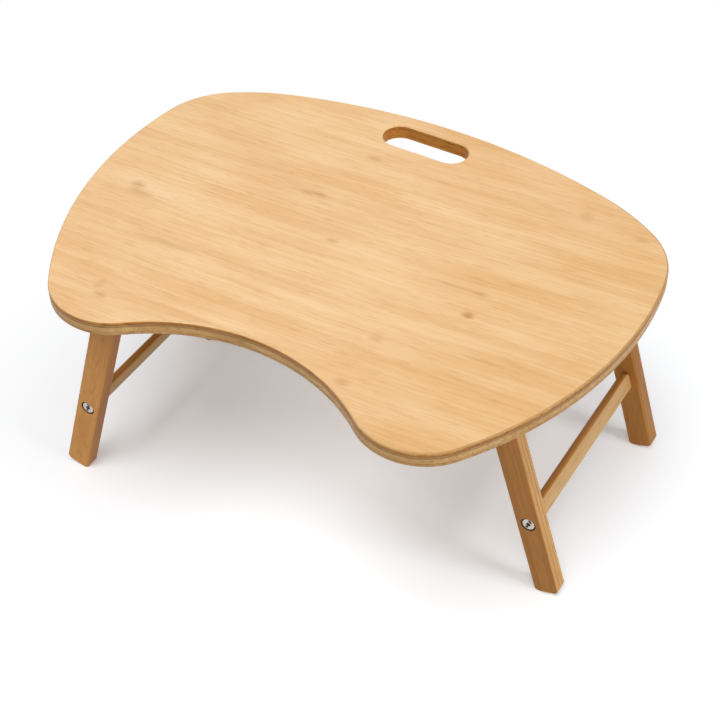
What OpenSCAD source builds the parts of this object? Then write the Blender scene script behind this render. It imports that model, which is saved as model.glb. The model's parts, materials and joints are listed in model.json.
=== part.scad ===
// Laptop desk: a kidney shaped bamboo board on two folding leg frames.
// Millimetres, +Z up, +Y to the back. The origin is on the floor, under the middle of the board.
// Both frames are shown open. Each turns about its pivot bolts and folds inwards under the board;
// the left one hangs lower, so that it closes over the right one.

/* [Board] */
// Width of the board
board_w = 530; // [480:5:600]
// Depth of the board, from the front lobes to the back edge
board_d = 395; // [370:5:430]
// Height of the board's top above the floor
table_h = 275; // [250:5:320]
// Thickness of the top layer of bamboo
top_ply_t = 4; // [3:0.5:6]
// Thickness of the core layer of bamboo
core_ply_t = 7; // [5:0.5:12]
// Thickness of the bottom layer of bamboo
bottom_ply_t = 4; // [3:0.5:6]
// Rounding of the board's upper and lower edges
edge_r = 1.5; // [0.5:0.25:2.5]

/* [Board outline] */
// Angle the back curve turns through, on each side of the middle
back_turn = 17.5; // [15:0.5:20]
// Radius of the shoulder between the back curve and the rear corner
shoulder_r = 210; // [170:5:250]
// Angle the shoulder turns through
shoulder_turn = 16.5; // [12:0.5:20]
// Radius of the rear corner
corner_r = 82; // [65:1:100]
// Angle the rear corner turns through
corner_turn = 46; // [40:0.5:52]
// Angle the side curve turns through
side_turn = 45.5; // [40:0.5:50]
// Radius of the front lobe
lobe_r = 61; // [50:1:70]
// Slope of the edge where the front lobe meets the bay for the body
belly_turn = 37.5; // [32:0.5:42]

/* [Carrying slot] */
// Length of the slot, end to end
slot_l = 88; // [70:1:120]
// Width of the slot
slot_w = 33; // [26:1:38]
// Width of board left behind the slot
slot_margin = 17.5; // [14:0.5:30]
// How far the slot's middle lies to the right of the board's middle
slot_x = -15; // [-30:1:30]
// Bevel round the slot's upper and lower rims
slot_bevel = 1; // [0.5:0.25:2]

/* [Leg frames] */
// Width of a leg across its broad face
leg_w = 25; // [20:0.5:30]
// Thickness of a leg
leg_t = 15; // [12:0.5:20]
// Outward lean of an open leg from the vertical
splay = 16.8; // [10:0.2:20]
// How far in from the board's right edge the right legs' centre lines meet the floor
right_foot_inset = 25; // [10:1:40]
// How far in from the board's left edge the left legs' centre lines meet the floor
left_foot_inset = 29; // [10:1:40]
// Rounding of the foot's corners
foot_r = 6; // [3:0.5:8]
// How much larger the radius of a leg's round top is than half its width
top_crown = 1; // [0.5:0.25:3]
// Rounding along a leg's long edges
leg_edge_r = 2; // [1:0.25:3]
// Width of a frame over its two legs
frame_w = 230; // [200:1:250]
// Distance of the right frame's rear leg from the board's back edge
right_frame_inset = 25.5; // [12:0.5:42]
// Distance of the left frame's front leg from the board's front edge
left_frame_inset = 54; // [45:0.5:75]
// Height of the right crossbar's centre line above the floor
right_bar_z = 82; // [60:1:120]
// Height of the left crossbar's centre line above the floor
left_bar_z = 91; // [60:1:120]
// Width of a crossbar's broad face
bar_h = 20; // [15:0.5:26]
// Thickness of a crossbar
bar_t = 8; // [7:0.5:10]
// Rounding along a crossbar's long edges
bar_edge_r = 2.5; // [1:0.25:3]
// Rounding of the upper corners at a crossbar's ends
bar_end_r = 7; // [3:0.5:7]

/* [Hinges] */
// Gap between a leg's round top and the surface it swings under
top_gap = 1; // [0.75:0.25:3]
// Width of a hinge rail
rail_w = 30; // [24:1:40]
// Depth of wood in a hinge rail below its pivots
rail_below = 13; // [10:0.5:18]
// Bevel along a hinge rail's lower edges
rail_bevel = 3; // [1:0.5:5]
// Gap between one folded frame's crossbar and the other frame's legs
fold_gap = 1.5; // [1:0.25:4]
// Width of the left spacer on each side of its rail
spacer_side = 14; // [12:0.5:20]
// How far the left spacer runs past its frame at each end
spacer_over = 6; // [3:0.5:12]
// Rounding of the left spacer's corners
spacer_corner_r = 8; // [4:1:15]
// Diameter of a pivot bolt's smooth shoulder
pivot_d = 7; // [6:0.5:8]
// Radial running clearance of a leg on its pivot bolt
pivot_gap = 0.06; // [0.02:0.01:0.1]
// Diameter of a pivot bolt's threaded end
bolt_thread_d = 6; // [5:0.5:6]
// Length of a pivot bolt's threaded end
bolt_thread_l = 12; // [9:0.5:16]
// Outside diameter of a threaded insert
insert_d = 10; // [8.5:0.5:11]
// Thickness of a washer
washer_t = 1.2; // [0.8:0.1:2]
// Outside diameter of a washer
washer_d = 18; // [14:0.5:22]
// Free play of a leg along its pivot bolt, at each face
end_play = 0.2; // [0.1:0.05:0.4]

/* [Fasteners] */
// Diameter of the wide flat heads let into the legs
head_d = 12.5; // [11:0.25:14]
// Thickness of a flat head
head_t = 2; // [1.5:0.25:3]
// Depth of a flat head's face below the leg's surface
head_sink = 0.4; // [0:0.1:1]
// Gap round a flat head in its seat
head_gap = 0.8; // [0.4:0.1:1.2]
// Edge bevel of a flat head
head_bevel = 0.5; // [0.2:0.1:0.8]
// Width across flats of the drive socket
socket_af = 4; // [3:0.5:5]
// Depth of the drive socket
socket_depth = 3; // [2:0.25:4]
// Diameter of a crossbar screw's neck, in the leg
neck_d = 7; // [6:0.25:8]
// Diameter of a crossbar screw's thread, in the crossbar
thread_d = 5; // [4:0.25:5.5]
// Length of a crossbar screw's thread
thread_l = 34; // [20:1:45]
// Clearance round a neck in its leg
neck_gap = 0.15; // [0.05:0.05:0.4]
// Shank diameter of a countersunk screw
wood_screw_d = 4; // [3:0.25:5]
// Head diameter of a countersunk screw
wood_screw_head_d = 8; // [7:0.25:9]
// Width of a countersunk screw's drive socket
wood_screw_drive = 2.5; // [2:0.25:3]
// How far a countersunk screw bites into the layer above
screw_bite = 10; // [7:0.5:12]
// Wood left under a rail screw's head
screw_grip = 15; // [10:0.5:20]
// Distance from a rail's end to its first screw
screw_inset = 30; // [24:1:50]
// Screws in each rail
rail_screws = 3; // [2:1:5]
// Depth of the spacer's screw heads below its surface
spacer_screw_sink = 1; // [0.5:0.25:2]
// Distance from the spacer's end to its screws
spacer_screw_inset = 40; // [35:1:50]

/* [Hidden] */
$fn = 32;
eps = 0.5;

// Levels of the board
board_t = top_ply_t + core_ply_t + bottom_ply_t;
board_z = table_h - board_t;
core_z = board_z + bottom_ply_t;
top_ply_z = core_z + core_ply_t;

// Outline of the board. It runs clockwise from the middle of the back edge, as a chain of arcs that
// meet tangentially. A heading is the direction of travel, clockwise from +X.
shoulder_heading = back_turn;
corner_heading = shoulder_heading + shoulder_turn;
side_heading = corner_heading + corner_turn;
lobe_heading = side_heading + side_turn;
belly_heading = 180 + belly_turn;
lobe_turn = belly_heading - lobe_heading;

// The long back and side radii follow from the width and the depth: half the width is reached at a
// heading of 90 degrees and the full depth at 180, and both are linear in the two radii.
width_left = board_w / 2 - shoulder_r * (sin(corner_heading) - sin(shoulder_heading))
    - corner_r * (sin(side_heading) - sin(corner_heading));
depth_left = board_d - shoulder_r * (cos(shoulder_heading) - cos(corner_heading))
    - corner_r * (cos(corner_heading) - cos(side_heading)) - lobe_r * (1 + cos(lobe_heading));
side_rise = cos(side_heading) - cos(lobe_heading);
side_run = 1 - sin(side_heading);
back_rise = 1 - cos(back_turn);
solve_by = sin(back_turn) * side_rise - side_run * back_rise;
back_r = (width_left * side_rise - depth_left * side_run) / solve_by;
side_r = (depth_left * sin(back_turn) - width_left * back_rise) / solve_by;

function heading_vector(heading) = [sin(heading), cos(heading)];
function next_centre(centre, radius, next_radius, heading) =
    centre + (radius - next_radius) * heading_vector(heading);

back_centre = [0, board_d / 2 - back_r];
shoulder_centre = next_centre(back_centre, back_r, shoulder_r, shoulder_heading);
corner_centre = next_centre(shoulder_centre, shoulder_r, corner_r, corner_heading);
side_centre = next_centre(corner_centre, corner_r, side_r, side_heading);
lobe_centre = next_centre(side_centre, side_r, lobe_r, lobe_heading);
belly_r = lobe_centre.x / sin(belly_turn) - lobe_r;
belly_centre = [0, lobe_centre.y - (lobe_r + belly_r) * cos(belly_turn)];

// Largest distance between the outline's arcs and their chords, and chords per edge rounding
chord_sag = 0.03;
edge_steps = 3;

// Leg geometry, drawn for the right side; the left side is its mirror image.
// A leg's own axis runs up from where it crosses the floor and leans in by the splay.
leg_half = leg_w / 2;
top_r = leg_half + top_crown;
// Roundings cut into an edge lie a little wide of it, so that they cross it instead of grazing it
flare = 0.3;
foot_arc_x = leg_half - foot_r + flare;
foot_end = (foot_r + foot_arc_x * sin(splay)) / cos(splay) - foot_r;
pivot_drop = top_r + top_gap;
spacer_t = leg_half + bar_t / 2 + fold_gap;
spacer_w = rail_w + 2 * spacer_side;
inner_w = frame_w - 2 * leg_t;
rail_l = inner_w - 2 * (washer_t + end_play);
rail_h = pivot_drop + rail_below;
// Corner of the leg's top that bears on its seat: it starts just outside the pivot
heel_offset = 1;

// What sets each frame: its front face, the height of its seat, and its feet and crossbar
right = [
    board_d / 2 - right_frame_inset - frame_w, board_z, board_w / 2 - right_foot_inset, right_bar_z
];
left = [
    left_frame_inset - board_d / 2, board_z - spacer_t, board_w / 2 - left_foot_inset, left_bar_z
];

function front_y(frame) = frame[0];
function seat_z(frame) = frame[1];
function foot_x(frame) = frame[2];
function bar_reach(frame) = frame[3] / cos(splay);
function pivot_z(frame) = seat_z(frame) - pivot_drop;
function pivot_x(frame) = foot_x(frame) - pivot_z(frame) * tan(splay);
function pivot_reach(frame) = pivot_z(frame) / cos(splay);
function rail_y(frame) = front_y(frame) + (frame_w - rail_l) / 2;

// Heads and seats in the legs
seat_d = head_d + 2 * head_gap;
seat_depth = head_t + head_sink;
pivot_sink = head_sink - end_play;
pivot_hole_d = pivot_d + 2 * pivot_gap;
shoulder_l = leg_t - seat_depth + washer_t + 2 * end_play;
neck_l = leg_t - seat_depth;

// Countersunk screws
rail_screw_l = screw_grip + screw_bite;
spacer_grip = spacer_t - spacer_screw_sink;
spacer_screw_l = spacer_grip + screw_bite;
countersink_h = (wood_screw_head_d - wood_screw_d) / 2;
screw_seat_d = wood_screw_head_d + 1;

bamboo_top = [0.95, 0.80, 0.60];
bamboo_core = [0.70, 0.56, 0.40];
bamboo_leg = [0.80, 0.60, 0.38];
steel = [0.80, 0.80, 0.80];
brass = [0.80, 0.68, 0.38];

// Points along an arc; its last point is left to the arc that follows
function chords(radius, turn) = ceil(turn / (2 * acos(1 - chord_sag / radius)));
function arc_points(centre, radius, inset, heading, turn) =
    let (steps = chords(radius, turn))
    [for (i = [0 : steps - 1]) centre + (radius - inset) * heading_vector(heading + turn * i / steps)];

// The bay is hollow, so its arc runs backwards and the inset widens it
function bay_points(inset) =
    let (steps = chords(belly_r, belly_turn))
    [for (i = [0 : steps])
        belly_centre - (belly_r + inset) * heading_vector(belly_heading - belly_turn * i / steps)];

// Right side of the outline, moved in by an inset, from the middle of the back to that of the bay
function right_side(inset) = concat(
    arc_points(back_centre, back_r, inset, 0, back_turn),
    arc_points(shoulder_centre, shoulder_r, inset, shoulder_heading, shoulder_turn),
    arc_points(corner_centre, corner_r, inset, corner_heading, corner_turn),
    arc_points(side_centre, side_r, inset, side_heading, side_turn),
    arc_points(lobe_centre, lobe_r, inset, lobe_heading, lobe_turn),
    bay_points(inset)
);

// Whole outline at one level, clockwise. Its two ends on the middle line aren't mirrored.
function outline_ring(inset, z) =
    let (right = right_side(inset), last = len(right) - 1)
    concat(
        [for (p = right) [p.x, p.y, z]],
        [for (i = [last - 1 : -1 : 1]) [-right[i].x, right[i].y, z]]
    );

// Levels and insets of a layer's rings; an edge that shows is rounded
function lower_edge(z) = [
    for (i = [0 : edge_steps])
        let (a = 90 * i / edge_steps) [edge_r * (1 - sin(a)), z + edge_r * (1 - cos(a))]
];
function upper_edge(z) = [
    for (i = [0 : edge_steps])
        let (a = 90 * i / edge_steps) [edge_r * (1 - cos(a)), z - edge_r * (1 - sin(a))]
];

// Solid between rings of the outline, from the lowest to the highest
module ring_stack(levels) {
    rings = [for (level = levels) outline_ring(level.x, level.y)];
    n = len(rings[0]);
    top = len(rings) - 1;
    polyhedron(
        points = [for (ring = rings) each ring],
        faces = concat(
            [[for (i = [n - 1 : -1 : 0]) i]],
            [for (k = [0 : top - 1], i = [0 : n - 1])
                let (j = (i + 1) % n) [k * n + i, k * n + j, (k + 1) * n + j, (k + 1) * n + i]],
            [[for (i = [0 : n - 1]) top * n + i]]
        )
    );
}

// Half of the slot's section: its wall and both bevels
module slot_profile() {
    half = slot_w / 2;
    wide = half + slot_bevel + eps;
    polygon([
        [0, board_z - eps], [wide, board_z - eps], [half, board_z + slot_bevel],
        [half, table_h - slot_bevel], [wide, table_h + eps], [0, table_h + eps]
    ]);
}

// Round ends, and the straight run between them
module slot_cut() {
    run = slot_l - slot_w;
    translate([slot_x, board_d / 2 - slot_margin - slot_w / 2, 0]) {
        for (side = [-1, 1])
            translate([side * run / 2, 0, 0]) rotate_extrude() slot_profile();
        translate([-run / 2, 0, 0]) rotate([90, 0, 90]) linear_extrude(run) {
            slot_profile();
            mirror([1, 0]) slot_profile();
        }
    }
}

// Every hole for a countersunk screw that reaches up into the board
module board_screw_holes() {
    for (y = rail_screw_ys(right))
        translate([pivot_x(right), y, board_z - eps])
            cylinder(h = screw_bite + eps, d = wood_screw_d);
    for (spot = spacer_screw_spots())
        translate([spot.x, spot.y, board_z - eps])
            cylinder(h = screw_bite + eps, d = wood_screw_d);
}

// One layer of the board
module ply(levels) {
    difference() {
        ring_stack(levels);
        slot_cut();
        board_screw_holes();
    }
}

module top_ply() color(bamboo_top) ply(concat([[0, top_ply_z]], upper_edge(table_h)));
module core_ply() color(bamboo_core) ply([[0, core_z], [0, top_ply_z]]);
module bottom_ply() color(bamboo_leg) ply(concat(lower_edge(board_z), [[0, core_z]]));

// Ends of a leg: a square cut foot with rounded corners, a round top about the pivot, and a heel on
// the outer side that bears on the seat and stops the leg at its splay. It is wider than the leg.
module leg_outline(frame) {
    reach = pivot_reach(frame);
    translate([foot_x(frame), 0]) rotate(splay) {
        translate([-leg_w, foot_end + foot_r]) square([2 * leg_w, reach - foot_end - foot_r]);
        translate([-foot_arc_x, foot_end]) square([2 * foot_arc_x, 2 * foot_r]);
        for (side = [-1, 1])
            translate([side * foot_arc_x, foot_end + foot_r]) circle(foot_r);
        translate([0, reach]) circle(top_r);
    }
    translate([pivot_x(frame) + heel_offset, pivot_z(frame)]) square([leg_w, pivot_drop]);
}

module rounded_bar_section(across, deep, r) {
    translate([-across / 2 + r, -deep / 2]) square([across - 2 * r, deep]);
    translate([-across / 2, -deep / 2 + r]) square([across, deep - 2 * r]);
    for (x = [-1, 1])
        for (y = [-1, 1])
            translate([x * (across / 2 - r), y * (deep / 2 - r)]) circle(r);
}

// A point on a leg's axis at a distance up from where it crosses the floor
module at_reach(frame, reach)
    translate([foot_x(frame) - reach * sin(splay), 0, reach * cos(splay)]) children();

// Leg with its front face at y = 0; facing is -1 when the heads are let into its front face, 1 its back
module leg(frame, facing) {
    reach = pivot_reach(frame);
    face_y = facing < 0 ? 0 : leg_t;
    color(bamboo_leg) difference() {
        intersection() {
            translate([0, leg_t + eps, 0]) rotate([90, 0, 0]) linear_extrude(leg_t + 2 * eps)
                leg_outline(frame);
            translate([foot_x(frame), leg_t / 2, 0]) rotate([0, -splay, 0])
                linear_extrude(reach + 2 * leg_w) rounded_bar_section(leg_w, leg_t, leg_edge_r);
        }
        at_reach(frame, reach) head_seat(face_y, facing, pivot_hole_d);
        at_reach(frame, bar_reach(frame)) head_seat(face_y, facing, neck_d + 2 * neck_gap);
    }
}

module front_leg(frame) translate([0, front_y(frame), 0]) leg(frame, -1);
module rear_leg(frame) translate([0, front_y(frame) + frame_w - leg_t, 0]) leg(frame, 1);

// Hole through a leg along Y, with a wide seat for a flat head
module head_seat(face_y, facing, hole_d) {
    translate([0, -eps, 0]) rotate([-90, 0, 0]) cylinder(h = leg_t + 2 * eps, d = hole_d);
    inner_y = face_y - facing * seat_depth;
    outer_y = face_y + facing * eps;
    translate([0, min(inner_y, outer_y), 0]) rotate([-90, 0, 0])
        cylinder(h = seat_depth + eps, d = seat_d);
}

// Flat head with a hexagon socket and its shank, pointing along +Y from the head's face at y = 0
module flat_head_screw(shank_d, shank_l, tip_d, tip_l) {
    rotate([-90, 0, 0]) difference() {
        union() {
            cylinder(h = head_bevel, d1 = head_d - 2 * head_bevel, d2 = head_d);
            translate([0, 0, head_bevel]) cylinder(h = head_t - head_bevel, d = head_d);
            translate([0, 0, head_t]) cylinder(h = shank_l, d = shank_d);
            translate([0, 0, head_t + shank_l]) cylinder(h = tip_l, d = tip_d);
        }
        translate([0, 0, -eps])
            cylinder(h = socket_depth + eps, d = socket_af / cos(30), $fn = 6);
    }
}

// Puts a child, drawn from its head's face at y = 0 inwards, into the front or the rear leg
module at_front(frame, sink) translate([0, front_y(frame) + sink, 0]) children();
module at_rear(frame, sink)
    translate([0, front_y(frame) + frame_w - sink, 0]) mirror([0, 1, 0]) children();

module crossbar_screw(frame) at_reach(frame, bar_reach(frame))
    flat_head_screw(neck_d, neck_l, thread_d, thread_l);
module pivot_bolt(frame) color(steel) at_reach(frame, pivot_reach(frame))
    flat_head_screw(pivot_d, shoulder_l, bolt_thread_d, bolt_thread_l);
module front_pivot_bolt(frame) at_front(frame, pivot_sink) pivot_bolt(frame);
module rear_pivot_bolt(frame) at_rear(frame, pivot_sink) pivot_bolt(frame);

module crossbar_screws(frame) color(steel) {
    at_front(frame, head_sink) crossbar_screw(frame);
    at_rear(frame, head_sink) crossbar_screw(frame);
}

// Side view of a crossbar, with x down across its broad face and y from end to end. Its upper end
// corners are rounded, and it is wider than the bar.
module crossbar_outline() {
    arc_x = bar_end_r - bar_h / 2 - flare;
    translate([arc_x, 0]) square([bar_h, inner_w]);
    translate([-bar_h, bar_end_r]) square([2 * bar_h, inner_w - 2 * bar_end_r]);
    for (y = [bar_end_r, inner_w - bar_end_r])
        translate([arc_x, y]) circle(bar_end_r);
}

// Slat between the legs, its broad face turned to the leg's outer side
module crossbar(frame) {
    color(bamboo_leg) at_reach(frame, bar_reach(frame))
        translate([0, front_y(frame) + leg_t, 0]) rotate([-90, 0, 0]) difference() {
            rotate(-splay) intersection() {
                translate([0, 0, -eps]) linear_extrude(inner_w + 2 * eps)
                    rounded_bar_section(bar_t, bar_h, bar_edge_r);
                translate([-bar_t, 0, 0]) rotate([90, 0, 90]) linear_extrude(2 * bar_t)
                    crossbar_outline();
            }
            for (z = [-eps, inner_w - thread_l])
                translate([0, 0, z]) cylinder(h = thread_l + eps, d = thread_d);
        }
}

// Batten between the tops of the legs that carries the pivot inserts
module hinge_rail(frame) {
    start_y = rail_y(frame);
    half = rail_w / 2;
    high = seat_z(frame);
    low = high - rail_h;
    color(bamboo_leg) difference() {
        translate([pivot_x(frame), start_y + rail_l, 0]) rotate([90, 0, 0]) linear_extrude(rail_l)
            polygon([
                [-half, high], [-half, low + rail_bevel], [-half + rail_bevel, low],
                [half - rail_bevel, low], [half, low + rail_bevel], [half, high]
            ]);
        for (y = [start_y - eps, start_y + rail_l - bolt_thread_l])
            translate([pivot_x(frame), y, pivot_z(frame)]) rotate([-90, 0, 0])
                cylinder(h = bolt_thread_l + eps, d = insert_d);
        for (y = rail_screw_ys(frame))
            translate([pivot_x(frame), y, high])
                wood_screw_hole(screw_grip, rail_h);
    }
}

function rail_screw_ys(frame) = [
    for (i = [0 : rail_screws - 1])
        rail_y(frame) + screw_inset + i * (rail_l - 2 * screw_inset) / (rail_screws - 1)
];

// Countersunk screw pointing up: its head's flat face is at a depth below z = 0
module wood_screw(depth, length) {
    translate([0, 0, -depth]) difference() {
        union() {
            cylinder(h = countersink_h, d1 = wood_screw_head_d, d2 = wood_screw_d);
            cylinder(h = length, d = wood_screw_d);
        }
        translate([0, 0, -eps])
            cylinder(h = countersink_h + eps, d = wood_screw_drive / cos(30), $fn = 6);
    }
}

// Hole for such a screw, with a wider shaft below the head when the wood is deeper
module wood_screw_hole(depth, wood_depth) {
    translate([0, 0, -depth]) cylinder(h = depth + eps, d = wood_screw_d);
    translate([0, 0, -depth]) cylinder(h = countersink_h, d1 = wood_screw_head_d, d2 = wood_screw_d);
    translate([0, 0, -wood_depth - eps])
        cylinder(h = wood_depth + eps - depth, d = wood_depth > depth ? screw_seat_d : wood_screw_head_d);
}

module rail_screw_set(frame) {
    color(steel) for (y = rail_screw_ys(frame))
        translate([pivot_x(frame), y, seat_z(frame)]) wood_screw(screw_grip, rail_screw_l);
}

// Threaded sleeve in each end of a rail
module inserts(frame) {
    start_y = rail_y(frame);
    color(brass) for (y = [start_y, start_y + rail_l - bolt_thread_l])
        translate([pivot_x(frame), y, pivot_z(frame)]) rotate([-90, 0, 0]) difference() {
            cylinder(h = bolt_thread_l, d = insert_d);
            translate([0, 0, -eps]) cylinder(h = bolt_thread_l + 2 * eps, d = bolt_thread_d);
        }
}

// Washer between each leg and its rail, set against the rail
module washers(frame) {
    start_y = rail_y(frame);
    color(steel) for (y = [start_y - washer_t, start_y + rail_l])
        translate([pivot_x(frame), y, pivot_z(frame)]) rotate([-90, 0, 0]) difference() {
            cylinder(h = washer_t, d = washer_d);
            translate([0, 0, -eps]) cylinder(h = washer_t + 2 * eps, d = pivot_hole_d);
        }
}

// The spacer's screws stand in a row on each side of its rail
function spacer_screw_spots() = [
    for (x = [-1, 1])
        for (y = [spacer_screw_inset, frame_w - spacer_screw_inset])
            [-pivot_x(left) + x * (rail_w + spacer_side) / 2, front_y(left) + y]
];

// Plank that lowers the left hinge, on the left side of the board
module left_spacer() {
    length = frame_w + 2 * spacer_over;
    color(bamboo_leg) difference() {
        translate([-pivot_x(left), front_y(left) + frame_w / 2, seat_z(left)])
            linear_extrude(spacer_t) rounded_bar_section(spacer_w, length, spacer_corner_r);
        for (spot = spacer_screw_spots())
            translate([spot.x, spot.y, board_z]) wood_screw_hole(spacer_grip, spacer_t);
        for (y = rail_screw_ys(left))
            translate([-pivot_x(left), y, seat_z(left) - eps])
                cylinder(h = screw_bite + eps, d = wood_screw_d);
    }
}

module spacer_screws() {
    color(steel) for (spot = spacer_screw_spots())
        translate([spot.x, spot.y, board_z]) wood_screw(spacer_grip, spacer_screw_l);
}

module on_left() mirror([1, 0, 0]) children();

module right_front_leg() front_leg(right);
module right_rear_leg() rear_leg(right);
module right_crossbar() crossbar(right);
module right_crossbar_screws() crossbar_screws(right);
module left_front_leg() on_left() front_leg(left);
module left_rear_leg() on_left() rear_leg(left);
module left_crossbar() on_left() crossbar(left);
module left_crossbar_screws() on_left() crossbar_screws(left);
module right_hinge_rail() hinge_rail(right);
module right_front_pivot_bolt() front_pivot_bolt(right);
module right_rear_pivot_bolt() rear_pivot_bolt(right);
module right_inserts() inserts(right);
module right_washers() washers(right);
module right_rail_screws() rail_screw_set(right);
module left_hinge_rail() on_left() hinge_rail(left);
module left_front_pivot_bolt() on_left() front_pivot_bolt(left);
module left_rear_pivot_bolt() on_left() rear_pivot_bolt(left);
module left_inserts() on_left() inserts(left);
module left_washers() on_left() washers(left);
module left_rail_screws() on_left() rail_screw_set(left);

top_ply();
core_ply();
bottom_ply();
right_front_leg();
right_rear_leg();
right_crossbar();
right_crossbar_screws();
left_front_leg();
left_rear_leg();
left_crossbar();
left_crossbar_screws();
right_hinge_rail();
right_front_pivot_bolt();
right_rear_pivot_bolt();
right_inserts();
right_washers();
right_rail_screws();
left_spacer();
left_hinge_rail();
left_front_pivot_bolt();
left_rear_pivot_bolt();
left_inserts();
left_washers();
left_rail_screws();
spacer_screws();
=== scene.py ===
"""Laptop desk: a kidney shaped bamboo board on two folding leg frames.

Each piece is a CAD node with eased edges and bamboo or metal on its faces. The camera is the
photograph's.
"""

import json
import math

import bpy
from mathutils import Matrix, Vector


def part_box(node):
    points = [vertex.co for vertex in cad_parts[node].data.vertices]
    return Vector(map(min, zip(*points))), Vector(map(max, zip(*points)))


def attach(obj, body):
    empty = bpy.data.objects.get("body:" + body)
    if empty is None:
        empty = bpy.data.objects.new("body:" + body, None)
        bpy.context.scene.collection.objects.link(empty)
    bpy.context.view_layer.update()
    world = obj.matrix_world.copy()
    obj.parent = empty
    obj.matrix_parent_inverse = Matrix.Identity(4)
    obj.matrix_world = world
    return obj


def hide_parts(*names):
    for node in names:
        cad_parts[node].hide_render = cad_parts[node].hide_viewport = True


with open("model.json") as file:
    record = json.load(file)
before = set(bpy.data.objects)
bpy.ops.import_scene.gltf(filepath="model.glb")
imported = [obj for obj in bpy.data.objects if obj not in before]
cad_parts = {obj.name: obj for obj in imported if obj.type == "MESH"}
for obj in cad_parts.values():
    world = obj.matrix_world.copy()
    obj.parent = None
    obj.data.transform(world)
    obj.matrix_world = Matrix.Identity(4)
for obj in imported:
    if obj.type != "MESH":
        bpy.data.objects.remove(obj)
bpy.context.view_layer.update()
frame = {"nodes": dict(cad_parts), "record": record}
nodes = frame["nodes"]
bodies = frame["record"]["behaviour"]["bodies"]
slots = {part["node"]: part["material_slot"] for part in frame["record"]["subparts"]}
body_of = {node: body for body, names in bodies.items() for node in names}

MM = 0.001

# Outward lean of an open leg
SPLAY = math.radians(16.8)
# Where the middle line of a frame's legs meets the floor, along X in metres
FOOT_X = {"right": 0.240, "left": -0.236}
# Height of the middle of a crossbar above the floor, in metres
BAR_Z = {"right": 0.082, "left": 0.091}


def srgb(red, green, blue):
    """Linear colour of an 8 bit colour."""
    return tuple(
        c / 12.92 if c <= 0.04045 else ((c + 0.055) / 1.055) ** 2.4
        for c in (red / 255, green / 255, blue / 255)
    ) + (1.0,)


# Camera

AZIMUTH, ELEVATION, ROLL = map(math.radians, (31.27, 43.18, -0.905))
# The point that the camera looks at, and how far it stands from it, in metres
TARGET = Vector((0.08393, -0.12477, 0.27552))
DISTANCE = 1.2889
SENSOR_MM, LENS_MM = 36, 79.6


def add_camera():
    back = Vector((
        math.sin(AZIMUTH) * math.cos(ELEVATION),
        -math.cos(AZIMUTH) * math.cos(ELEVATION),
        math.sin(ELEVATION),
    ))
    level = Vector((math.cos(AZIMUTH), math.sin(AZIMUTH), 0))
    upright = back.cross(level)
    right = level * math.cos(ROLL) + upright * math.sin(ROLL)
    up = upright * math.cos(ROLL) - level * math.sin(ROLL)
    data = bpy.data.cameras.new("camera")
    data.sensor_width = SENSOR_MM
    data.lens = LENS_MM
    data.clip_start, data.clip_end = 0.05, 50
    camera = bpy.data.objects.new("camera", data)
    bpy.context.scene.collection.objects.link(camera)
    turn = Matrix((right, up, back)).transposed().to_4x4()
    camera.matrix_world = Matrix.Translation(TARGET + back * DISTANCE) @ turn
    bpy.context.scene.camera = camera


# Shader arithmetic


class Flow:
    """A shader socket. Arithmetic on it adds Math nodes to its material."""

    def __init__(self, socket):
        self.socket = socket
        self.tree = socket.id_data

    def math(self, operation, *values):
        return add_node(
            self.tree, "ShaderNodeMath", {"operation": operation}, dict(enumerate(values))
        )

    def __add__(self, other):
        return self.math("ADD", self, other)

    def __radd__(self, other):
        return self.math("ADD", other, self)

    def __sub__(self, other):
        return self.math("SUBTRACT", self, other)

    def __rsub__(self, other):
        return self.math("SUBTRACT", other, self)

    def __mul__(self, other):
        return self.math("MULTIPLY", self, other)

    def __rmul__(self, other):
        return self.math("MULTIPLY", other, self)

    def __truediv__(self, other):
        return self.math("DIVIDE", self, other)

    def __pow__(self, other):
        return self.math("POWER", self, other)

    def __abs__(self):
        return self.math("ABSOLUTE", self)

    def rounded_down(self):
        return self.math("FLOOR", self)

    def at_least(self, low):
        return self.math("MAXIMUM", self, low)

    def at_most(self, high):
        return self.math("MINIMUM", self, high)

    def between(self, low, high):
        """0 below low, 1 above high, smooth in between."""
        return add_node(
            self.tree, "ShaderNodeMapRange", {"interpolation_type": "SMOOTHSTEP"},
            {0: self, 1: low, 2: high},
        )


def add_node(tree, kind, settings=None, inputs=None, output=0):
    """Adds a node, sets it up, fills its sockets and returns one output as a Flow."""
    node = tree.nodes.new(kind)
    for name, value in (settings or {}).items():
        setattr(node, name, value)
    for name, value in (inputs or {}).items():
        if isinstance(value, Flow):
            tree.links.new(value.socket, node.inputs[name])
        else:
            node.inputs[name].default_value = value
    return Flow(node.outputs[output])


def object_place(tree):
    """Object coordinates, in metres."""
    return add_node(tree, "ShaderNodeTexCoord", output=3)


def parts_of(place):
    """The X, Y and Z parts of a place."""
    x = add_node(place.tree, "ShaderNodeSeparateXYZ", inputs={0: place})
    return [Flow(output) for output in x.socket.node.outputs]


def blend(factor, first, second, kind="MIX"):
    """Mixes two colours."""
    return add_node(
        factor.tree, "ShaderNodeMix",
        {"data_type": "RGBA", "blend_type": kind, "clamp_factor": True},
        {0: factor, 6: first, 7: second}, 2,
    )


def noise(place, scale, detail, roughness=0.5):
    return add_node(
        place.tree, "ShaderNodeTexNoise", {"noise_dimensions": "3D"},
        {"Vector": place, "Scale": scale, "Detail": detail, "Roughness": roughness},
    )


def random_of(row, seed):
    """A number from 0 to 1 for each strip of bamboo."""
    return add_node(
        row.tree, "ShaderNodeTexWhiteNoise", {"noise_dimensions": "1D"}, {"W": row + seed}
    )


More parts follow.
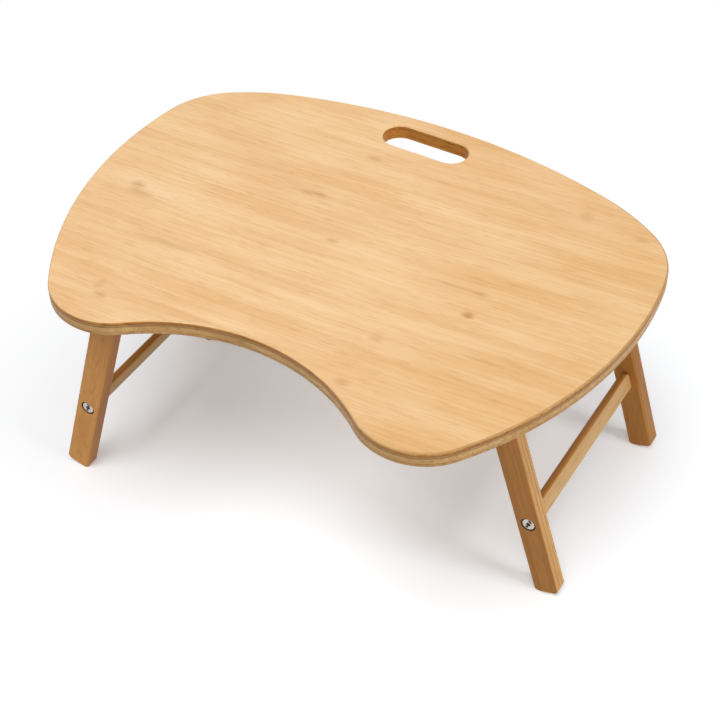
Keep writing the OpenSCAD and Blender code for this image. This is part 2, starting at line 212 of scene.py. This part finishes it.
def new_material(name):
    material = bpy.data.materials.new(name)
    material.use_nodes = True
    tree = material.node_tree
    tree.nodes.clear()
    shader = tree.nodes.new("ShaderNodeBsdfPrincipled")
    end = tree.nodes.new("ShaderNodeOutputMaterial")
    tree.links.new(shader.outputs[0], end.inputs[0])
    return material, tree, shader


def feed(shader, name, value):
    shader.id_data.links.new(value.socket, shader.inputs[name])


def add_relief(shader, height, strength, depth_mm):
    bump = add_node(
        height.tree, "ShaderNodeBump", None,
        {"Height": height, "Strength": strength, "Distance": depth_mm * MM},
    )
    feed(shader, "Normal", bump)


def distance_from(tree, middle):
    """Distance in mm from a line along Y, with its parts along X and Z."""
    x, _, z = parts_of(object_place(tree))
    right = x * 1000 - middle[0] * 1000
    up = z * 1000 - middle[1] * 1000
    return (right * right + up * up) ** 0.5, right, up


def middle_of(node):
    """Middle of a node's box, along X and Z."""
    low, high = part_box(node)
    return (low[0] + high[0]) / 2, (low[2] + high[2]) / 2


# Bamboo

# Knots and stained streaks on the board's face: place X, Y, length and width in mm, darkness
KNOTS = (
    (-72, 44, 10, 3.5, 0.55),
    (-60, 47, 10, 4.5, 0.85),
    (-64, 46, 24, 6, 0.3),
    (-214, -24, 9, 6.5, 0.4),
    (-205, -33, 16, 7, 0.42),
    (-142, -80, 36, 4, 0.42),
    (-158, -154, 6, 8, 0.45),
    (-149, -163, 8, 5, 0.4),
    (-44, 119, 9, 5, 0.4),
    (-16, -5, 8, 5, 0.3),
    (134, -32, 6.5, 4.5, 0.9),
    (131, -3, 9, 3.5, 0.5),
    (106, -5, 30, 2.5, 0.48),
    (84, -153, 9, 5, 0.45),
    (78, -135, 9, 6, 0.25),
    (82, -94, 8, 5, 0.3),
    (163, 137, 9, 7, 0.4),
    (220, 132, 8, 5, 0.35),
    (168, -76, 26, 3, 0.4),
)

# How the grain of the face turns along the board: slope in the middle, and change per mm
GRAIN_BOW = (0.052, 0.000065)

# Grain: how much longer than wide a feature is, its number per mm across the grain, the detail
# and roughness of its noise, and what sets its noise apart from the others
GRAIN = {
    "wander": (30, 0.012, 1.0, 0.5, 5),
    "wave": (2.6, 0.085, 1.0, 0.5, 8),
    "broad": (8, 0.04, 2.0, 0.5, 0),
    "middle": (16, 0.15, 2.0, 0.5, 2),
    "fine": (10, 0.7, 2.0, 0.5, 4),
    "threads": (45, 0.45, 2.0, 0.6, 14),
    "vessels": (7, 0.42, 1.0, 0.4, 6),
    "gleams": (8, 0.36, 1.0, 0.4, 9),
    "patches": (2.2, 0.022, 2.0, 0.5, 12),
}

# How far the grain wanders and waves across itself, in mm
WANDER, WAVE = 7, 4.0

# How much each feature darkens the wood, and how dark it is without any
BROAD, MIDDLE, THREADS, FINE, PATCHES, MEAN_SHADE = 1.15, 0.6, 0.31, 0.45, 1.0, 0.42

# The part of a noise over which a vessel or a gleam sets in
SHORT_DASH = (0.54, 0.74)

YELLOWER = (1.0, 0.955, 0.86, 1.0)
# Tint of the painted shade that darkens and yellows the board's face towards its right end
TAN = (0.92, 0.88, 0.78)
KNOT_COLOUR = srgb(192, 138, 80)
KNOT_DEPTH = 0.75

# Painted shade in and around a bored seat: its radius, where it ends, and how far from the middle
# of the leg it starts and is full, in mm
SEAT_SHADE = srgb(72, 42, 20)
SEAT_SHADE_REACH = (7.0, 7.7)
SEAT_SHADE_LEVEL = (0.5, 1.0)

WOOD_GLOSS = 0.22
WOOD_ROUGHNESS = (0.40, 0.12)


def grain_axes(tree, along, origin, lean):
    """Coordinates along, across and through a piece of bamboo, in mm."""
    turn = Matrix.Rotation(lean, 3, "Y")
    shift = -(turn @ Vector(origin))
    local = add_node(
        tree, "ShaderNodeMapping", {"vector_type": "POINT"},
        {"Vector": object_place(tree), "Location": shift, "Rotation": (0, lean, 0)},
    )
    parts = [part * 1000 for part in parts_of(local)]
    order = {"X": (0, 1, 2), "Y": (1, 0, 2), "Z": (2, 0, 1)}[along]
    return [parts[i] for i in order]


def grain_noise(feature, run, across, deep, seed):
    """The noise of one feature of the grain, drawn out along the grain."""
    long, scale, detail, roughness, shift = GRAIN[feature]
    seed += shift
    place = add_node(
        run.tree, "ShaderNodeCombineXYZ", None,
        {0: run / long + seed, 1: across + seed * 7, 2: deep + seed * 3},
    )
    return noise(place, scale, detail, roughness)


def knot_marks(knots, bow, run, side, fray):
    """How much of the knots' colour a place takes."""
    marks = []
    for x, y, length, width, darkness in knots:
        y -= x * (x * bow[1] + bow[0])
        reach = ((run - x) / length) ** 2 + ((side - y) / width) ** 2 + fray
        core = (1.0 - reach * 0.7).at_least(0.0)
        marks.append(core * core * (darkness * KNOT_DEPTH))
    return sum(marks[1:], marks[0])


def bamboo(name, light, dark, fibre, along="X", origin=(0, 0, 0), lean=0.0, seed=0.0,
           strip=6.0, strip_contrast=0.25, dashes=0.3, ripple=1.0, hue=0.5, knots=(),
           bow=(0.0, 0.0), tan_side=None, tan=TAN, bands=(), seats=()):
    """Laminated bamboo: strips, long streaks, threads, vessels, gleams, patches and knots.

    tan_side is where a darkening tint sets in and is full along the grain, in mm, and its
    strength; on the board's face it is painted shade, and on the rim it fades the painted
    highlight.
    bands are flat dark layers through the piece, one of them painted shade along the board's
    lower edge: (place in mm, half width, darkness).
    seats are bored seats, whose walls and rims take painted shade: (middle along X and Z,
    middle of the leg along Y, side that the seat faces).
    """
    material, tree, shader = new_material(name)
    run, side, deep = grain_axes(tree, along, origin, lean)
    if bow[0]:
        side = side - run * (run * bow[1] + bow[0])
    wander = grain_noise("wander", run, side, deep, seed) - 0.5
    wave = grain_noise("wave", run, side, deep, seed) - 0.5
    patches = grain_noise("patches", run, side, deep, seed)
    across = side + wander * WANDER + wave * (WAVE * ripple)
    broad, middle, fine, threads, vessels, gleams = (
        grain_noise(feature, run, across, deep, seed)
        for feature in ("broad", "middle", "fine", "threads", "vessels", "gleams")
    )
    row = (across / strip).rounded_down()
    shade = (
        (broad - 0.5) * BROAD
        + (middle - 0.5) * MIDDLE
        + (threads.between(0.34, 0.66) - 0.5) * THREADS
        + (fine - 0.5) * FINE
        + (patches - 0.5) * PATCHES
        + (random_of(row, seed) - 0.5) * strip_contrast
        + MEAN_SHADE
    )
    colour = blend(shade, light, dark)
    yellow = (random_of(row, seed + 50) - 0.5) * 0.5 + (patches.between(0.38, 0.62) * 0.6 + 0.2)
    colour = blend(yellow * hue, colour, YELLOWER, "MULTIPLY")
    if tan_side:
        start, end, strength = tan_side
        colour = blend(run.between(start, end) * strength, colour, (*tan, 1.0), "MULTIPLY")
    colour = blend(gleams.between(*SHORT_DASH) * dashes, colour, light)
    colour = blend(vessels.between(*SHORT_DASH) * dashes, colour, fibre)
    if knots:
        fray = (middle - 0.5) * 1.6 + (threads - 0.5) * 2.4 + wave
        colour = blend(knot_marks(knots, bow, run, side, fray), colour, KNOT_COLOUR)
    for place, half, darkness in bands:
        line = 1.0 - abs(deep - place).between(half * 0.5, half * 1.5)
        colour = blend(line * darkness, colour, fibre)
    # Painted shade in the walls and rims of the bored seats
    for seat, y, facing in seats:
        ring = 1.0 - distance_from(tree, seat)[0].between(*SEAT_SHADE_REACH)
        level = (parts_of(object_place(tree))[1] - y) * (facing / MM)
        colour = blend(ring * level.between(*SEAT_SHADE_LEVEL) * 0.85, colour, SEAT_SHADE)
    feed(shader, "Base Color", colour)
    feed(shader, "Roughness", middle * WOOD_ROUGHNESS[1] + WOOD_ROUGHNESS[0])
    shader.inputs["Specular IOR Level"].default_value = WOOD_GLOSS
    add_relief(shader, fine * 0.6 + vessels * 0.4, 0.25, 0.12)
    return material


# Metal

# Radii in mm over which the painted shade at a flat head's rim sets in, and the painted shade
# in its socket ends
HEAD_RIM_SHADE = (5.7, 6.1)
SOCKET_SHADE_EDGE = (2.25, 2.6)
# Painted dark reflections and shade on a flat head, one above and one below its middle: place
# right and up, and half size along and across the slope, in mm
HEAD_PAINTED_REFLECTIONS = ((1.4, 3.8, 3.6, 1.8), (-1.2, -3.3, 2.0, 2.2))


def metal(name, colour, roughness, head=None):
    """Plated metal with a fine turned finish. head is the middle of a flat head's face."""
    material, tree, shader = new_material(name)
    place = object_place(tree)
    scratch = noise(place, 900.0, 3.0, 0.6)
    cloud = noise(place, 160.0, 2.0)
    plate = blend(cloud, colour, tuple(c * 0.86 for c in colour[:3]) + (1,))
    if head:
        # A flat head takes painted shade in its socket and at its rim, and painted dark
        # reflections
        reach, right, up = distance_from(tree, head)
        socket = 1.0 - reach.between(*SOCKET_SHADE_EDGE)
        plate = blend(socket * 0.2, plate, srgb(90, 84, 78))
        for x, z, long, wide in HEAD_PAINTED_REFLECTIONS:
            along, over = (right - x) - (up - z), (right - x) + (up - z)
            off = (along / long) ** 2 + (over / wide) ** 2
            plate = blend((1.0 - off.between(0.5, 1.3)) * 0.95, plate, srgb(26, 24, 22))
        plate = blend(reach.between(*HEAD_RIM_SHADE) * 0.7, plate, srgb(84, 64, 46))
    feed(shader, "Base Color", plate)
    feed(shader, "Roughness", scratch * 0.12 + (roughness - 0.06))
    shader.inputs["Metallic"].default_value = 1.0
    add_relief(shader, scratch, 0.12, 0.02)
    return material


# Pieces: each stands for a CAD node, with merged and smoothed faces and eased edges

MERGE_MM = 0.001
# Faces that differ by less are one face, and edges sharper than these are eased or kept sharp
FLAT_ANGLE, EASED_ANGLE, SHARP_ANGLE = map(math.radians, (0.3, 38, 32))


def only(piece):
    bpy.ops.object.select_all(action="DESELECT")
    piece.select_set(True)
    bpy.context.view_layer.objects.active = piece


def apply_modifier(piece, kind, **settings):
    modifier = piece.modifiers.new(kind.lower(), kind)
    for name, value in settings.items():
        setattr(modifier, name, value)
    only(piece)
    bpy.ops.object.modifier_apply(modifier=modifier.name)


def dressed(node, *materials, ease=0.0, face_of=None):
    """A finished copy of a CAD node, in its place. ease is the width of its eased edges in mm.

    face_of gives the number of the material that a face takes.
    """
    piece = bpy.data.objects.new(node + "_piece", nodes[node].data.copy())
    bpy.context.scene.collection.objects.link(piece)
    only(piece)
    if piece.data.has_custom_normals:
        bpy.ops.mesh.customdata_custom_splitnormals_clear()
    bpy.ops.object.mode_set(mode="EDIT")
    bpy.ops.mesh.select_all(action="SELECT")
    bpy.ops.mesh.remove_doubles(threshold=MERGE_MM * MM)
    bpy.ops.mesh.dissolve_limited(angle_limit=FLAT_ANGLE)
    bpy.ops.object.mode_set(mode="OBJECT")
    if ease:
        apply_modifier(
            piece, "BEVEL", width=ease * MM, segments=2, limit_method="ANGLE",
            angle_limit=EASED_ANGLE, use_clamp_overlap=True,
        )
    only(piece)
    bpy.ops.object.shade_smooth_by_angle(angle=SHARP_ANGLE)
    apply_modifier(piece, "WEIGHTED_NORMAL", keep_sharp=True, weight=80)
    piece.data.materials.clear()
    for material in materials:
        piece.data.materials.append(material)
    if face_of:
        for face in piece.data.polygons:
            face.material_index = face_of(face)
    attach(piece, body_of[node])
    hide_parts(node)


# Board

# Part of the board that holds the carrying slot and nothing else: low and high X, Y in metres
SLOT_AREA = ((-0.070, 0.135), (0.040, 0.190))


def in_slot(face):
    """True for a face of the carrying slot's wall."""
    x, y, _ = face.center
    low, high = SLOT_AREA
    return low[0] < x < high[0] and low[1] < y < high[1]


def top_ply_face(face):
    """0 on the board's face, 1 on its edge, 2 in the slot, 3 on the upper rim, a painted
    highlight.
    """
    if face.normal.z > 0.97:
        return 0
    if face.normal.z > 0.5:
        return 3
    return 2 if in_slot(face) else 1


def core_ply_face(face):
    """0 on the edge, 1 in the slot."""
    return 1 if in_slot(face) else 0


def bottom_ply_face(face):
    """0 on the underside, 1 on the edge, 2 in the slot."""
    if face.normal.z < -0.55:
        return 0
    return 2 if in_slot(face) else 1


def make_board():
    # The face takes painted shade that darkens and yellows it towards its right end
    face = bamboo(
        "bamboo_face", srgb(253, 214, 165), srgb(234, 184, 127), srgb(176, 120, 66),
        knots=KNOTS, strip=19.0, strip_contrast=0.2, dashes=0.13, ripple=0.45, hue=0.4,
        bow=GRAIN_BOW, tan_side=(0, 240, 0.7),
    )
    back = bamboo(
        "bamboo_back", srgb(240, 198, 146), srgb(220, 172, 116), srgb(165, 115, 62),
        seed=31.0, strip=20.0, strip_contrast=0.4,
    )
    top_edge = bamboo(
        "bamboo_dark_edge", srgb(208, 150, 82), srgb(178, 119, 56), srgb(112, 66, 28),
        seed=11.0, strip=3.0, strip_contrast=0.5, dashes=0.4, bands=((271.9, 0.6, 0.55),),
    )
    core_edge = bamboo(
        "bamboo_core_edge", srgb(221, 178, 119), srgb(192, 146, 89), srgb(132, 88, 46),
        seed=17.0, strip=4.0, strip_contrast=0.5, dashes=0.4,
        bands=((269.7, 0.9, 0.6), (270.9, 0.2, 0.3)),
    )
    low_edge = bamboo(
        "bamboo_low_edge", srgb(214, 167, 108), srgb(181, 132, 75), srgb(106, 66, 32),
        seed=23.0, strip=3.0, strip_contrast=0.5, dashes=0.4,
        # The band at 260.4 mm is painted shade along the eased lower edge; the one at 264 mm is a
        # glue line
        bands=((264.0, 0.4, 0.45), (260.4, 0.6, 0.7)),
    )
    slot_wall = bamboo(
        "bamboo_slot_wall", srgb(222, 156, 72), srgb(188, 119, 42), srgb(112, 62, 20),
        seed=29.0, strip=3.0, strip_contrast=0.5, dashes=0.4,
        bands=((271.4, 0.5, 0.4), (264.0, 0.5, 0.3)),
    )
    # The upper rim is a painted highlight, paler than the edge, which its tint fades towards the
    # right end
    rim = bamboo(
        "bamboo_painted_highlight_rim", srgb(247, 211, 158), srgb(233, 187, 131), srgb(184, 128, 76),
        seed=3.0, strip=19.0, dashes=0.15, tan_side=(70, 200, 1.0), tan=(0.6, 0.54, 0.44),
    )
    dressed("top_ply", face, top_edge, slot_wall, rim, face_of=top_ply_face)
    dressed("core_ply", core_edge, slot_wall, face_of=core_ply_face)
    dressed("bottom_ply", back, low_edge, slot_wall, face_of=bottom_ply_face)


# Leg frames

LEG_FIBRE = srgb(126, 74, 34)
# The left frame's broad faces are painted lighter than the right's: painted light on the same
# wood
BROAD_TONES = {
    "right": (srgb(212, 150, 76), srgb(188, 123, 56)),
    "left": (srgb(228, 163, 86), srgb(206, 138, 66)),
}
# The narrow outside faces are painted lighter than the broad faces, as painted light from the
# right, and the rear legs' are darker than the front legs', as painted shade
OUTSIDE_TONES = {
    "front": (srgb(226, 175, 111), srgb(206, 151, 87)),
    "rear": (srgb(198, 141, 76), srgb(174, 117, 55)),
}
INSIDE_TONES = (srgb(212, 146, 76), srgb(184, 118, 56))
# A leg that is darker towards its foot: where that starts and ends along the leg, in mm, and
# its strength
DARK_FOOT = {"right_front_leg": (150, 40, 1.0)}
DARK_FOOT_TAN = (0.8, 0.77, 0.7)
BAR_TONES = (srgb(222, 179, 120), srgb(202, 156, 96))
# Darker tones of a crossbar's upper and lower faces: painted shade under the board
SHADED_BAR_EDGE_TONES = (srgb(196, 138, 70), srgb(164, 106, 44))

# Glue lines in a leg's narrow faces: (place from its middle in mm, half width, darkness)
OUTSIDE_GLUE = ((-2.2, 0.8, 0.35), (2.4, 0.5, 0.45))
INSIDE_GLUE = ((-2.2, 0.8, 0.3), (2.4, 0.5, 0.3))


def make_leg(side, sign, end, facing, seed):
    """A leg at the front or rear end of a frame. Its screw and bolt heads look towards facing."""
    node = f"{side}_{end}_leg"
    low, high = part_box(node)
    middle = (low[1] + high[1]) / 2
    seats = [
        (middle_of(bolt), middle, facing)
        for bolt in (f"{side}_crossbar_screws", f"{side}_{end}_pivot_bolt")
    ]
    stand = {
        "along": "Z", "origin": (FOOT_X[side], middle, 0), "lean": sign * SPLAY,
        "strip": 5.0, "seats": seats,
    }
    broad = bamboo(
        f"bamboo_{node}", *BROAD_TONES[side], LEG_FIBRE,
        seed=seed, strip_contrast=0.35, dashes=0.2, ripple=0.3,
        tan_side=DARK_FOOT.get(node), tan=DARK_FOOT_TAN, **stand,
    )
    outside = bamboo(
        f"bamboo_{node}_edge", *OUTSIDE_TONES[end], LEG_FIBRE,
        seed=seed + 3, strip_contrast=0.3, dashes=0.15, ripple=0.2, bands=OUTSIDE_GLUE, **stand,
    )
    inside = bamboo(
        f"bamboo_{node}_inside", *INSIDE_TONES, LEG_FIBRE,
        seed=seed + 6, strip_contrast=0.3, dashes=0.15, ripple=0.2, bands=INSIDE_GLUE, **stand,
    )

    def leg_face(face):
        if abs(face.normal.y) > 0.75:
            return 0
        return 2 if face.normal.x * sign < -0.4 else 1

    dressed(node, broad, outside, inside, ease=0.6, face_of=leg_face)


def make_crossbar(side, sign):
    node = f"{side}_crossbar"
    lying = {
        "along": "Y", "origin": (middle_of(node)[0], 0, BAR_Z[side]), "lean": sign * SPLAY,
        "strip": 5.0, "strip_contrast": 0.3, "dashes": 0.15, "ripple": 0.3,
    }
    wood = bamboo(f"bamboo_{node}", *BAR_TONES, LEG_FIBRE, seed=77.0 + 6 * sign, **lying)
    # The upper and lower faces take painted shade
    edge = bamboo(
        f"bamboo_{node}_edge", *SHADED_BAR_EDGE_TONES, LEG_FIBRE, seed=90.0 + 6 * sign, **lying
    )

    def bar_face(face):
        return 1 if abs(face.normal.z) > 0.7 else 0

    dressed(node, wood, edge, ease=0.4, face_of=bar_face)


def make_rail(side, sign):
    """The batten under the board that a frame's pivots hold in. Returns its wood."""
    node = f"{side}_hinge_rail"
    low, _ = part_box(node)
    wood = bamboo(
        f"bamboo_{node}", srgb(218, 170, 114), srgb(194, 144, 90), srgb(140, 92, 48),
        along="Y", origin=(middle_of(node)[0], 0, low[2]), seed=100.0 + 8 * sign,
        strip=5.0, strip_contrast=0.3,
    )
    dressed(node, wood, ease=0.6)
    return wood


# Screws, bolts, washers and inserts

NICKEL, BRASS = srgb(204, 196, 186), srgb(214, 178, 104)
NICKEL_ROUGHNESS, BRASS_ROUGHNESS = 0.26, 0.3
METAL_EASE = 0.12


def make_metal():
    steel = metal("nickel_plate", NICKEL, NICKEL_ROUGHNESS)
    brass = metal("turned_brass", BRASS, BRASS_ROUGHNESS)
    for node, slot in slots.items():
        if node.endswith(("crossbar_screws", "pivot_bolt")):
            head = metal("nickel_" + node, NICKEL, NICKEL_ROUGHNESS, middle_of(node))
            dressed(node, head, ease=METAL_EASE)
        elif slot == "steel":
            dressed(node, steel, ease=METAL_EASE)
        elif slot == "brass":
            dressed(node, brass, ease=METAL_EASE)


# Floor and light

# What the floor shows: a slightly blue paper that takes the shadow, and light added to it
PALE_FLOOR = (0.925, 0.96, 1.0, 1)
FLOOR_LIFT = 0.21
# Distance from the middle over which the floor turns plain white, in metres
WHITE_BEYOND = (0.27, 0.46)
# What the floor throws back at the desk
DULL_FLOOR = (0.60, 0.60, 0.60, 1)
WHITE = (1, 1, 1, 1)

SKY = 0.30
# Round lamps: name, place and width in metres, and power in watts
LAMPS = (
    ("above", (0.24, -2.71, 6.70), 3.9, 260),
    ("right", (6.70, 0.28, 4.70), 3.3, 240),
)
LAMP_TARGET = Vector((0, 0, 0.15))


def seen_rays(tree):
    """1 where the camera, a reflection or a clear piece looks at the background."""
    path = tree.nodes.new("ShaderNodeLightPath")
    camera, glossy, clear = (
        Flow(path.outputs[name])
        for name in ("Is Camera Ray", "Is Glossy Ray", "Is Transmission Ray")
    )
    return (camera + glossy + clear).at_most(1.0)


def mix_shaders(factor, first, second):
    return add_node(
        factor.tree, "ShaderNodeMixShader", None, {0: factor, 1: first, 2: second}
    )


def add_floor():
    bpy.ops.mesh.primitive_plane_add(size=30, location=(0, 0, 0))
    floor = bpy.context.active_object
    floor.name = "floor"
    material = bpy.data.materials.new("pale_floor")
    material.use_nodes = True
    tree = material.node_tree
    tree.nodes.clear()
    dull = add_node(tree, "ShaderNodeBsdfDiffuse", None, {0: DULL_FLOOR})
    pale = add_node(tree, "ShaderNodeBsdfDiffuse", None, {0: PALE_FLOOR})
    lift = add_node(tree, "ShaderNodeEmission", None, {0: WHITE, 1: FLOOR_LIFT})
    near = add_node(tree, "ShaderNodeAddShader", None, {0: pale, 1: lift})
    far = add_node(tree, "ShaderNodeEmission", None, {0: WHITE, 1: 1.0})
    reach = add_node(
        tree, "ShaderNodeVectorMath", {"operation": "LENGTH"}, {0: object_place(tree)}, 1
    )
    shown = mix_shaders(reach.between(*WHITE_BEYOND), near, far)
    both = mix_shaders(seen_rays(tree), dull, shown)
    end = tree.nodes.new("ShaderNodeOutputMaterial")
    tree.links.new(both.socket, end.inputs[0])
    floor.data.materials.append(material)


def add_light():
    world = bpy.data.worlds.new("studio")
    bpy.context.scene.world = world
    world.use_nodes = True
    tree = world.node_tree
    tree.nodes.clear()
    soft = add_node(tree, "ShaderNodeBackground", None, {0: WHITE, 1: SKY})
    plain = add_node(tree, "ShaderNodeBackground", None, {0: WHITE, 1: 1.0})
    both = mix_shaders(seen_rays(tree), soft, plain)
    end = tree.nodes.new("ShaderNodeOutputWorld")
    tree.links.new(both.socket, end.inputs[0])
    for name, place, width, power in LAMPS:
        data = bpy.data.lights.new(name, "AREA")
        data.shape = "DISK"
        data.size = width
        data.energy = power
        lamp = bpy.data.objects.new(name, data)
        bpy.context.scene.collection.objects.link(lamp)
        lamp.location = place
        aim = LAMP_TARGET - lamp.location
        lamp.rotation_mode = "QUATERNION"
        lamp.rotation_quaternion = aim.to_track_quat("-Z", "Y")


add_camera()
make_board()
for side, sign, seed in (("right", 1, 60.0), ("left", -1, 40.0)):
    make_leg(side, sign, "front", -1, seed)
    make_leg(side, sign, "rear", 1, seed + 9)
    make_crossbar(side, sign)
    rail_wood = make_rail(side, sign)
# The spacer lies over the left rail and is of the same batten
dressed("left_spacer", rail_wood, ease=0.6)
make_metal()
add_floor()
add_light()
bpy.context.scene.view_settings.view_transform = "Standard"
